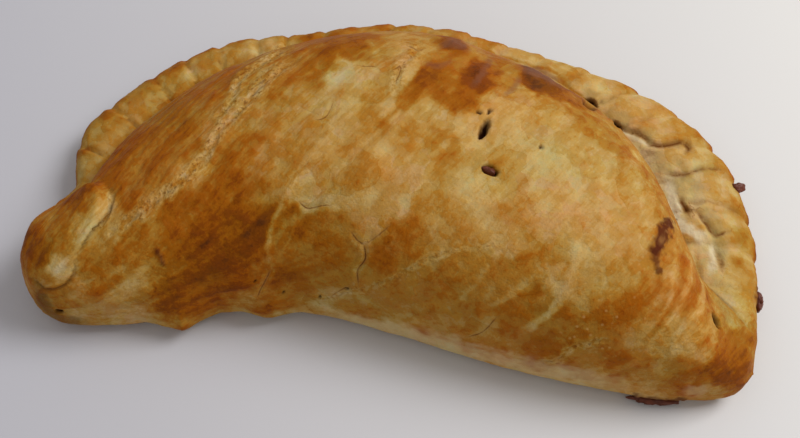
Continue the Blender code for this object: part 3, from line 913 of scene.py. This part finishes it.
class Look:
    """The crust's relief in millimetres, and its fields, as they are built up."""

    def __init__(self, skin, texture):
        self.skin = skin
        self.texture = texture
        self.level = bake_level(skin, texture)
        self.relief, self.rough, self.pocks, self.dots, self.crack_width, self.crack_near = (
            np.zeros(skin.along.shape) for _ in range(6)
        )
        self.crack_side = np.full(skin.along.shape, CRACK_FAR)
        self.tints = []  # colours that are laid over the baked crust, in order

    def tint(self, name, share):
        """Lays a colour of the palette over the crust."""
        self.tints.append((name, share))

    def bake(self, level, share):
        """Moves the level towards another one."""
        self.level = mix(self.level, level, share)


def dress_dome(look, off_crimp):
    """Streaks and patches of the glazed dome, which has fewer streaks at the right."""
    texture = look.texture
    upper = ramp(look.skin.points[..., 2], 1.0, 6.0)
    streaky = off_crimp * mix(1.0, 0.45, ramp(look.skin.pixels[..., 0], 260, 340))
    broad, fine = np.tanh(1.6 * texture.broad_streaks), np.tanh(1.4 * texture.fine_streaks)
    look.level += 0.05 * streaky * (broad + fine)
    calm = mix(1.0, 0.5, ramp(look.level, 0.62, 0.78))
    look.level += off_crimp * calm * texture.mixed(mottle=0.06, speckle=0.045)
    look.relief += streaky * upper * texture.mixed(broad_streaks=0.20, fine_streaks=0.12)
    look.relief += upper * texture.mixed(patches=0.35, mottle=0.18, speckle=0.07)


def dress_crimp(look, crimped, crimp_f, dome_f):
    """Folds, browned lip and wrinkles of the crimp, and the seam between it and the dome, with painted
    shade in the creases and along the seam.
    """
    skin, texture = look.skin, look.texture
    right = skin.pixels[..., 0]
    left = 1 - ramp(right, 400, 580)
    lip = ramp(crimp_f + 0.06 * texture.mottle, 0.42, 0.80)
    level = mix(0.30, 0.54, left) + mix(0.20, 0.14, left) * lip + texture.mixed(mottle=0.09, speckle=0.05)
    gap = crease_gap(skin, crimp_f) + 0.35 * texture.speckle
    fold_end = 0.62 + 0.3 * noise(skin.points, 16.0, 71)
    fold = bump_at(gap, 0, 0.8) * ramp(crimp_f, 0.03, 0.12)
    fold = fold * (1 - ramp(crimp_f, fold_end - 0.15, fold_end + 0.15))
    # darker on the lip before each crease and paler after it: partly browning, partly painted shade and
    # highlight on a fold's two faces
    level += 0.12 * bump_at(gap, -2.6, 2.2) * lip - 0.08 * bump_at(gap, 2.2, 1.4)
    level += 0.05 * texture.wrinkles + 0.22 * ramp(crimp_f, 0.80, 0.98)
    at = skin.pixels + CRIMP_WOBBLE * wobble(skin)
    for spot in CRIMP_BAKES:
        level = mix(level, spot.level + 0.05 * texture.mottle, 0.8 * skin.seen * spot_share(spot, at))
    look.bake(level, crimped)
    look.relief += crimped * (0.16 * texture.wrinkles * (1 - lip * 0.4) + 0.22 * texture.mottle)
    ruled = crimped * (1 - 0.7 * skin.seen * ramp(right, *CREVICES_FROM))
    look.relief += ruled * (0.30 * bump_at(gap, -1.8, 1.4) - 0.60 * fold)
    # painted shade in the creases between the folds
    look.tint("painted_shade", 0.55 * ruled * fold * ramp(texture.mixed(mottle=1, speckle=1), -0.4, 0.6))
    look.rough = np.maximum(look.rough, 0.5 * crimped)

    across = np.where(crimp_f > 0, crimp_f * 18, (1 - dome_f) * 70)
    at_seam = (skin.around > DOME_START + DOME / 2) & (skin.around < BACK_START)
    at_seam = at_seam * (1 - plain_section(skin.along))
    seam = at_seam * bump_at(across + 0.3 * texture.speckle, 0, 1.0)
    look.relief -= 0.5 * seam
    # painted shade along the seam between dome and crimp, stronger towards the right
    look.tint("painted_shade", seam * mix(0.2, 0.6, ramp(right, 420, 520)))
    look.level += 0.12 * at_seam * (crimp_f <= 0) * (1 - ramp(across, 3, 9)) * ramp(right, 380, 500)


def dress_crease(look, gap, side, half_width, shown, near):
    """A pale flaky crease with a valley along it, painted shade in the valley, and pocks."""
    texture = look.texture
    fleck = ramp(texture.mixed(flecks=1, speckle=0.5), -0.4, 0.5)
    look.bake(0.58 - 0.28 * fleck, 0.85 * near)
    valley = bump_at((gap * side + 2.5 * texture.mottle) / half_width + 0.2 * texture.speckle, 0, 0.25)
    banks = bump_at(gap / half_width + 0.3 * texture.mottle, 0.8, 0.5)
    look.relief += shown * (0.30 * banks - 0.35 * valley) + near * 0.22 * texture.flecks
    # painted shade in the crease's valley
    look.tint("painted_shade", 0.45 * shown * valley * ramp(texture.mixed(flecks=1, speckle=1), 0.0, 0.7))
    look.rough = np.maximum(look.rough, near)
    look.pocks = np.maximum(look.pocks, near)


def dress_crack(look, kind, gap, side, half_width, shown):
    """A thin dark crack with raised sides, or a wider and deeper crevice with painted shade in it."""
    speckle = look.texture.speckle
    wide = gap * MM_PER_PIXEL
    strength = (1 - ramp(wide, *CRACK_REACH)) * shown
    nearer = strength > look.crack_near
    look.crack_side = np.where(nearer, wide * side, look.crack_side)
    look.crack_width = np.where(nearer, half_width * MM_PER_PIXEL, look.crack_width)
    look.crack_near = np.maximum(look.crack_near, strength)
    if kind == "crack":
        look.relief += shown * (0.18 * bump_at(gap, 4, 1.8) - 0.35 * (1 - ramp(gap, 0, 2.6)))
        look.bake(0.42, 0.45 * shown * bump_at(gap, 3, 1.8))
    else:
        look.relief += shown * (0.30 * bump_at(gap, 6, 3) - 0.65 * (1 - ramp(gap + speckle, 0, 4)))
        # painted shade in the crevice
        look.tint("painted_shade", 0.25 * shown * (1 - ramp(gap + 1.5 * speckle, 1, 5)))


def add_line(look, kind, half_width, strength, line):
    """Lays one line of LINES onto the crust."""
    skin, texture = look.skin, look.texture
    gap, side, share = distance_to(line, skin.pixels, 4 * half_width + LINE_MARGIN)
    shown = skin.seen * strength
    rag = texture.mixed(speckle=0.6, flecks=0.5)
    if kind != "leak":
        shown = shown * mix(0.4, 1, ramp(share, 0, 0.12) * (1 - ramp(share, 0.88, 1)))
        rag = texture.mixed(speckle=0.35, fine_streaks=0.30)
    if kind in CRIMP_KINDS and line[0][0] > CRIMP_FROM:
        shown = shown * (1 - ramp(skin.points[..., 2], *CRIMP_TOP))
    near = (1 - ramp(gap / half_width + rag, 0.4, 1.3)) * shown
    if kind == "crease":
        dress_crease(look, gap, side, half_width, shown, near)
    elif kind in ("crack", "crevice"):
        dress_crack(look, kind, gap, side, half_width, shown)
    elif kind == "streak":
        look.bake(0.38 + 0.10 * texture.mottle, 0.75 * near)
        look.relief += 0.25 * near
    elif kind == "brown":
        look.bake(0.80 + 0.05 * texture.mottle, 0.8 * near)
        look.relief -= 0.2 * near
    elif kind == "lip":
        above = np.where(side > 0, np.exp(-gap / (2.2 * half_width)), 0)
        below = np.where(side < 0, np.exp(-gap / half_width), 0)
        look.relief += shown * (0.40 * above - 0.35 * below)
        # painted shadow under the flap's lip
        look.tint("painted_shade", 0.55 * shown * bump_at(gap * side, -1.5, 1.8))
        look.level -= 0.12 * shown * bump_at(gap * side, 3.5, 2.5)
    elif kind == "dots":
        look.dots = np.maximum(look.dots, near)
    elif kind == "leak":
        look.tint("leak", near)
        look.tint("jelly", 0.8 * near * ramp(texture.mixed(flecks=1, speckle=1), 0.2, 0.9))
        look.relief += near * (0.35 + 0.3 * texture.flecks)
    else:
        look.tint(kind, near)
        if kind == "flour":
            look.rough = np.maximum(look.rough, near)


def add_pit(look, pit):
    """Sinks a hole with a slightly raised rim into the crust, and paints shade dark inside it."""
    ragged = 0.8 * np.stack([look.texture.speckle, look.texture.mottle], axis=-1)
    reach = pit_reach(pit, look.skin.pixels + ragged)
    rim = 0.25 * min(pit.depth, 1) * bump_at(reach, 1.25, 0.25)
    look.relief += look.skin.seen * (rim - pit.depth * (1 - ramp(reach, 0.35, 1.05)))
    # painted shade, dark inside the hole
    look.tint("pit", look.skin.seen * (1 - ramp(reach, 0.6, 1.1)))


def build_crust():
    """The fine crust: its points, and the fields that its material is coloured by, on the skin's grid."""
    skin = make_skin()
    texture = make_texture(skin)
    look = Look(skin, texture)
    x, z = skin.points[..., 0], skin.points[..., 2]
    _, _, dome_f, crimp_f, _ = zones(skin.around)
    on_crimp = ((skin.around >= CRIMP_START) & (skin.around <= BACK_START)).astype(float)
    crimped = on_crimp * (1 - plain_section(skin.along))
    under = (skin.around < UNDER).astype(float)
    low = (1 - ramp(z + 2 * texture.mottle, 5.0, 14.0)) * mix(0.35, 0.9, ramp(x, -40, -10))
    low = low * (1 - 0.8 * ramp(x, 66, 84))
    look.bake(0.34 + 0.10 * texture.mottle, low * (1 - on_crimp) * (1 - under))
    dress_dome(look, 1 - crimped)
    dress_crimp(look, crimped, crimp_f, dome_f)
    look.bake(0.66 + texture.mixed(patches=0.12, mottle=0.06), under)
    for kind, rows in LINES.items():
        for half_width, strength, *line in rows:
            add_line(look, kind, half_width, strength, line)
    for pit in PITS:
        add_pit(look, pit)

    finished = skin.points + skin.normals * (look.relief * (1 - under))[..., None]
    finished[..., 2] = np.maximum(finished[..., 2], 0.0)

    glaze = np.clip(0.85 - 0.8 * look.rough - 0.4 * ramp(0.42 - look.level, 0, 0.3) - 0.6 * under, 0, 1)
    hue = 0.5 + 0.25 * texture.mixed(patches=1, mottle=0.6)
    fibrous = (1 - crimped) * (0.5 + 0.3 * np.maximum(1 - ramp(x, -45, -15), ramp(x, 60, 75)))
    return finished, {
        "baked": np.stack([look.level / LEVEL_TOP, hue, glaze], axis=-1),
        "marks": np.stack([look.pocks, look.dots, fibrous], axis=-1),
        "cracks": np.stack([look.crack_side / 10 + 0.5, look.crack_near, look.crack_width / 10], axis=-1),
        "cover": laid_over(look.tints, look.level.shape),
    }


def grid_mesh(name, points, fields):
    """A closed mesh of the grid with colour fields. Its first and last slices are single points."""
    last, around = points.shape[0] - 1, points.shape[1]
    rows = 1 + np.arange((last - 1) * around).reshape(last - 1, around)
    beside = np.roll(rows, -1, axis=1)
    first, final = np.zeros(around, int), np.full(around, (last - 1) * around + 1)
    triangles = np.concatenate([
        np.stack([first, rows[0], beside[0]], axis=-1),
        np.stack([rows[:-1], rows[1:], beside[1:]], axis=-1).reshape(-1, 3),
        np.stack([rows[:-1], beside[1:], beside[:-1]], axis=-1).reshape(-1, 3),
        np.stack([rows[-1], final, beside[-1]], axis=-1),
    ])

    def flat(field):
        return np.concatenate([field[:1, 0], field[1:-1].reshape(-1, field.shape[-1]), field[-1:, 0]])

    mesh = bpy.data.meshes.new(name)
    mesh.from_pydata((flat(points) * MM).tolist(), [], triangles.tolist())
    mesh.shade_smooth()
    for field_name, field in fields.items():
        layer = mesh.color_attributes.new(field_name, "FLOAT_COLOR", "POINT")
        values = np.ones((len(mesh.vertices), 4), np.float32)
        values[:, :field.shape[-1]] = flat(field)
        layer.data.foreach_set("color", values.ravel())
    return mesh


# Materials

FIBRE_ANGLE = math.radians(57)  # the dome's streaks, in plan
FIBRE_SIZES, HAIR_SIZES = (0.011, 0.0013, 0.0013), (0.005, 0.0006, 0.0006)  # metres, along and across
STREAK_LEVEL, FLAKE_LEVEL, GRAIN_LEVEL = 0.06, 0.13, 0.07  # the most that each of them is off in level
TERRACES = 8.0  # steps in the browning for each unit of level, which give its patches an edge
TERRACE_EDGE = 0.65  # how sharp they are: 0 is smooth, 1 is a sharp step
REDDER = (0.17, -0.34, -0.67)  # what the hue adds to the colour's shares
YELLOWER = (0.96, 1.08, 0.74, 1.0)
POCK, PALE_DOT = (0.12, 0.045, 0.012, 1.0), (0.52, 0.30, 0.10, 1.0)
CRACK_RIM, CRACK_LINE = (0.50, 0.29, 0.09, 1.0), (0.120, 0.036, 0.006, 1.0)
BUMP_STRENGTH, BUMP_METRES = 0.6, 0.0004
FILLING_DARK, FILLING_LIGHT = (0.030, 0.008, 0.005, 1.0), (0.20, 0.050, 0.022, 1.0)
# painted shade and light on the surface: its colour at the near left, and at the far right
SURFACE_SHADED, SURFACE_LIT = (0.48, 0.48, 0.53, 1.0), (0.68, 0.67, 0.65, 1.0)


class Nodes:
    """A new material with a plain shader, and its nodes. An input i0 is a node's first one, and so on."""

    def __init__(self, name):
        self.material = bpy.data.materials.new(name)
        self.material.use_nodes = True
        self.tree = self.material.node_tree
        self.place = self.add("TexCoord").outputs["Object"]

    def put(self, socket, value):
        """Links an input to another node's output, or sets it."""
        if isinstance(value, bpy.types.NodeSocket):
            self.tree.links.new(value, socket)
        else:
            socket.default_value = value

    def add(self, kind, settings=None, **inputs):
        """Adds a node, and gives it its properties and its inputs."""
        made = self.tree.nodes.new("ShaderNode" + kind)
        for key, value in (settings or {}).items():
            setattr(made, key, value)
        for key, value in inputs.items():
            self.put(made.inputs[int(key[1:]) if key[1:].isdigit() else key], value)
        return made

    def shade(self, values):
        """Sets or links the shader's inputs, and hands back the material."""
        for name, value in values.items():
            self.put(self.tree.nodes["Principled BSDF"].inputs[name], value)
        return self.material

    def maths(self, operation, *values):
        """The outcome of a sum."""
        inputs = {f"i{k}": value for k, value in enumerate(values)}
        return self.add("Math", {"operation": operation}, **inputs).outputs[0]

    def plus(self, a, b):
        return self.maths("ADD", a, b)

    def times(self, a, b):
        return self.maths("MULTIPLY", a, b)

    def times_plus(self, a, b, c):
        """a times b, plus c."""
        return self.maths("MULTIPLY_ADD", a, b, c)

    def vector(self, operation, *values, **named):
        """The outcome of a sum with colours or places."""
        inputs = {f"i{k}": value for k, value in enumerate(values)}
        return self.add("VectorMath", {"operation": operation}, **inputs, **named).outputs[0]

    def mapped(self, value, low, high, to_low, to_high):
        """A value carried from one range to another, and held there."""
        return self.add("MapRange", i0=value, i1=low, i2=high, i3=to_low, i4=to_high).outputs[0]

    def blended(self, share, a, b, blend="MIX"):
        """Two colours mixed, or the second one multiplied onto the first."""
        return self.add("Mix", {"data_type": "RGBA", "blend_type": blend}, i0=share, i6=a, i7=b).outputs[2]

    def split(self, colour):
        """A colour's three values."""
        return self.add("SeparateColor", i0=colour).outputs[:3]

    def field(self, name):
        """One of the mesh's colour fields."""
        return self.add("Attribute", {"attribute_name": name})

    def noise(self, scale, detail, roughness=0.5, place=None, output="Fac"):
        inputs = {"Vector": place or self.place, "Scale": scale, "Detail": detail, "Roughness": roughness}
        return self.add("TexNoise", **inputs).outputs[output]

    def streaks(self, sizes, detail):
        """Noise whose spots have the given sizes: along the dome's streaks, and twice across them."""
        inputs = {"Vector": self.place, "Rotation": (0, 0, FIBRE_ANGLE), "Scale": sizes}
        turned = self.add("Mapping", {"vector_type": "TEXTURE"}, **inputs)
        return self.noise(1.0, detail, 0.6, turned.outputs[0])

    def flakes(self, warp, scale):
        """Ragged flakes: how far each one's level is off, and its share of a second hue."""
        swirl = self.noise(scale * 1.6, 3.0, output="Color")
        shift = self.vector("SCALE", self.vector("SUBTRACT", swirl, (0.5, 0.5, 0.5)), Scale=warp)
        cells = self.add("TexVoronoi", Vector=self.vector("ADD", self.place, shift), Scale=scale)
        tone, hue, _ = self.split(cells.outputs["Color"])
        return self.mapped(tone, 0.0, 1.0, -FLAKE_LEVEL, FLAKE_LEVEL), hue

    def bump(self, height):
        return self.add("Bump", Strength=BUMP_STRENGTH, Distance=BUMP_METRES, Height=height).outputs[0]

    def baked(self, level):
        """The colour of crust that is baked to a level."""
        made = self.add("ValToRGB", i0=self.maths("DIVIDE", level, LEVEL_TOP))
        elements = made.color_ramp.elements
        elements[1].position = BAKE_COLOURS[-1][0] / LEVEL_TOP
        elements[0].color = (*PALETTE[BAKE_COLOURS[0][1]], 1)
        elements[1].color = (*PALETTE[BAKE_COLOURS[-1][1]], 1)
        for stop, name in BAKE_COLOURS[1:-1]:
            elements.new(stop / LEVEL_TOP).color = (*PALETTE[name], 1)
        return made.outputs[0]


def crust_material():
    """Baked, egg-glazed pastry: browned by its level, with fibres, flakes, cracks and a satin glaze."""
    n = Nodes("baked_crust")
    level, hue, glaze = n.split(n.field("baked").outputs["Color"])
    pocked, dotted, fibrous = n.split(n.field("marks").outputs["Color"])
    side, near, width = n.split(n.field("cracks").outputs["Color"])
    cover = n.field("cover").outputs
    fine = n.noise(900.0, 3.0, 0.65)
    medium = n.noise(300.0, 4.0, 0.65)
    fibres = n.streaks(FIBRE_SIZES, 3.0)
    hairs = n.streaks(HAIR_SIZES, 2.0)
    grains = n.add("TexVoronoi", Vector=n.place, Scale=420.0).outputs["Distance"]
    broad_flakes, broad_hue = n.flakes(0.005, 110.0)
    small_flakes, small_hue = n.flakes(0.002, 330.0)

    # The level is made uneven, and then stepped
    streaks = [n.mapped(field, 0.3, 0.7, -STREAK_LEVEL, STREAK_LEVEL) for field in (fibres, hairs)]
    uneven = n.times(n.plus(*streaks), fibrous)
    flaky = n.times_plus(fibrous, -0.6, 1.0)
    uneven = n.times_plus(broad_flakes, n.times(flaky, 0.65), uneven)
    uneven = n.times_plus(small_flakes, 0.45, uneven)
    for grain in (medium, fine):
        uneven = n.plus(uneven, n.mapped(grain, 0.25, 0.75, -GRAIN_LEVEL, GRAIN_LEVEL))
    level = n.times(level, LEVEL_TOP)
    level = n.times_plus(uneven, n.mapped(level, 0.4, 0.85, 1.1, 0.55), level)
    turns = 2 * math.pi * TERRACES
    level = n.times_plus(n.maths("SINE", n.times(level, turns)), -TERRACE_EDGE / turns, level)
    colour = n.baked(level)

    # Small changes of shade and hue
    shade = n.times(n.mapped(fine, 0.3, 0.7, 0.91, 1.09), n.times_plus(small_flakes, 0.5, 1.0))
    colour = n.vector("SCALE", colour, Scale=shade)
    redder = n.vector("MULTIPLY_ADD", n.maths("SUBTRACT", hue, 0.5), REDDER, (1.0, 1.0, 1.0))
    colour = n.vector("MULTIPLY", colour, redder)
    yellower = n.mapped(n.plus(broad_hue, small_hue), 0.3, 1.0, 0.0, 0.45)
    colour = n.blended(yellower, colour, YELLOWER, "MULTIPLY")
    colour = n.blended(n.times(n.mapped(fine, 0.54, 0.64, 0.0, 0.6), pocked), colour, POCK)
    colour = n.blended(n.times(n.mapped(grains, 0.10, 0.22, 0.55, 0.0), dotted), colour, PALE_DOT)

    # What is laid over it, and the cracks
    colour = n.vector("MULTIPLY_ADD", colour, n.maths("SUBTRACT", 1.0, cover["Alpha"]), cover["Color"])
    away = n.maths("ABSOLUTE", n.plus(side, n.mapped(fine, 0.0, 1.0, -0.52, -0.48)))
    rim = n.times(n.mapped(away, 0.02, 0.06, 0.35, 0.0), near)
    colour = n.blended(rim, colour, CRACK_RIM)
    line = n.times(n.mapped(away, 0.001, width, 1.0, 0.0), n.mapped(medium, 0.36, 0.52, 0.3, 1.0))
    line = n.times(line, near)
    colour = n.blended(line, colour, CRACK_LINE)

    height = n.times_plus(fibres, n.times(fibrous, 1.6), fine)
    pocks = n.times(fine, pocked)
    for detail, share in ((broad_flakes, 3.0), (small_flakes, 2.0), (medium, 1.2), (pocks, 1.5)):
        height = n.times_plus(detail, share, height)
    dull = n.maths("MAXIMUM", line, cover["Alpha"])
    return n.shade({
        "Base Color": colour,
        "Roughness": n.mapped(glaze, 0.0, 1.0, 0.80, 0.52),
        "Specular IOR Level": n.mapped(dull, 0.0, 1.0, 0.07, 0.02),
        "Specular Tint": (1.0, 0.78, 0.45, 1.0),
        "Subsurface Weight": 0.05,
        "Subsurface Radius": (1.0, 0.4, 0.1),
        "Subsurface Scale": 0.0015,
        "Normal": n.bump(height),
    })


def filling_material():
    """Dark, sticky filling that boiled out and baked on."""
    n = Nodes("baked_filling")
    grain = n.noise(500.0, 3.0)
    tones = n.add("ValToRGB", i0=grain)
    tones.color_ramp.elements[0].color = FILLING_DARK
    tones.color_ramp.elements[1].color = FILLING_LIGHT
    return n.shade({
        "Base Color": tones.outputs[0],
        "Roughness": 0.45,
        "Specular IOR Level": 0.2,
        "Normal": n.bump(grain),
    })


def surface_material():
    """The pale surface, with painted shade: slightly cooler and darker towards the near left."""
    n = Nodes("pale_surface")
    across, away, _ = n.add("SeparateXYZ", i0=n.place).outputs
    # painted shade, darker at the near left and lighter at the far right
    share = n.mapped(n.times_plus(away, 0.4, across), -0.15, 0.15, 0.0, 1.0)
    return n.shade({"Base Color": n.blended(share, SURFACE_SHADED, SURFACE_LIT), "Roughness": 0.6})


# Pieces


def add_piece(name, mesh, material):
    """Adds a piece of the pasty to the scene, in the place of its construction node."""
    mesh.materials.append(material)
    piece = bpy.data.objects.new(name, mesh)
    bpy.context.scene.collection.objects.link(piece)
    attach(piece, "root")
    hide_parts("pasty")
    return piece


class Bit(NamedTuple):
    """A bit of filling: its middle and half sizes in millimetres, and its turn about +Z in degrees."""

    name: str
    centre: tuple
    half_sizes: tuple
    turn: float


BITS = (
    Bit("vent_bit", (22.9, -13.5, 43.4), (2.2, 1.0, 1.7), -20.0),
    Bit("edge_bit", (94.9, 14.3, 8.8), (2.6, 1.5, 1.4), 20.0),
    Bit("edge_leak", (101.7, -21.5, 7.5), (1.4, 2.8, 2.2), 0.0),
    Bit("front_leak", (75.0, -52.3, 1.9), (6.8, 1.6, 1.4), 3.0),
)
BIT_DETAIL = 4
BIT_UNEVEN, BIT_LUMPS = 0.28, 1.6  # share that the surface wanders, and size of its lumps
BIT_LOWEST = 0.05  # lowest point of a bit above the surface


def bit_mesh(bit):
    """An uneven lump of filling."""
    mesh = bpy.data.meshes.new(bit.name)
    bm = bmesh.new()
    bmesh.ops.create_icosphere(bm, subdivisions=BIT_DETAIL, radius=1)
    shape = np.array([v.co for v in bm.verts])
    sizes = np.array(bit.half_sizes)
    shape *= 1 + BIT_UNEVEN * fractal(shape * sizes + bit.centre, BIT_LUMPS, 51)[:, None]
    shape *= sizes
    turn = math.radians(bit.turn)
    x = shape[:, 0] * math.cos(turn) - shape[:, 1] * math.sin(turn)
    y = shape[:, 0] * math.sin(turn) + shape[:, 1] * math.cos(turn)
    placed = np.stack([x, y, shape[:, 2]], axis=-1) + bit.centre
    placed[:, 2] = np.maximum(placed[:, 2], BIT_LOWEST)
    for vert, point in zip(bm.verts, placed * MM):
        vert.co = point
    bm.to_mesh(mesh)
    bm.free()
    mesh.shade_smooth()
    return mesh


# Surface and light

SURFACE_HALF = 6.0  # half the surface's side, in metres
WINDOW_PLACE, WINDOW_SIZE, WINDOW_POWER = (0.76, 0.36, 0.95), 0.62, 12.6  # in metres and watts
WINDOW_COLOUR = (0.99, 0.99, 1.0)
ROOM_COLOUR, ROOM_STRENGTH = (1.0, 0.96, 0.92, 1.0), 0.49


def make_surface():
    """The pale surface that the pasty lies on."""
    mesh = bpy.data.meshes.new("surface")
    bm = bmesh.new()
    bmesh.ops.create_grid(bm, x_segments=1, y_segments=1, size=SURFACE_HALF)
    bm.to_mesh(mesh)
    bm.free()
    mesh.materials.append(surface_material())
    surface = bpy.data.objects.new("surface", mesh)
    bpy.context.scene.collection.objects.link(surface)


def make_light():
    """Soft daylight from behind and the right, and a dim fill from all round."""
    data = bpy.data.lights.new("window", "AREA")
    data.size = WINDOW_SIZE
    data.energy = WINDOW_POWER
    data.color = WINDOW_COLOUR
    window = bpy.data.objects.new("window", data)
    window.location = WINDOW_PLACE
    window.rotation_euler = Vector(WINDOW_PLACE).to_track_quat("Z", "Y").to_euler()
    bpy.context.scene.collection.objects.link(window)
    world = bpy.data.worlds.new("room")
    world.use_nodes = True
    background = world.node_tree.nodes["Background"]
    background.inputs["Color"].default_value = ROOM_COLOUR
    background.inputs["Strength"].default_value = ROOM_STRENGTH
    bpy.context.scene.world = world
    view = bpy.context.scene.view_settings
    view.view_transform = "Standard"
    view.look = "None"


def main():
    make_camera()
    points, fields = build_crust()
    add_piece("pasty_crust", grid_mesh("pasty_crust", points, fields), crust_material())
    filling = filling_material()
    for bit in BITS:
        add_piece(bit.name, bit_mesh(bit), filling)
    make_surface()
    make_light()


main()
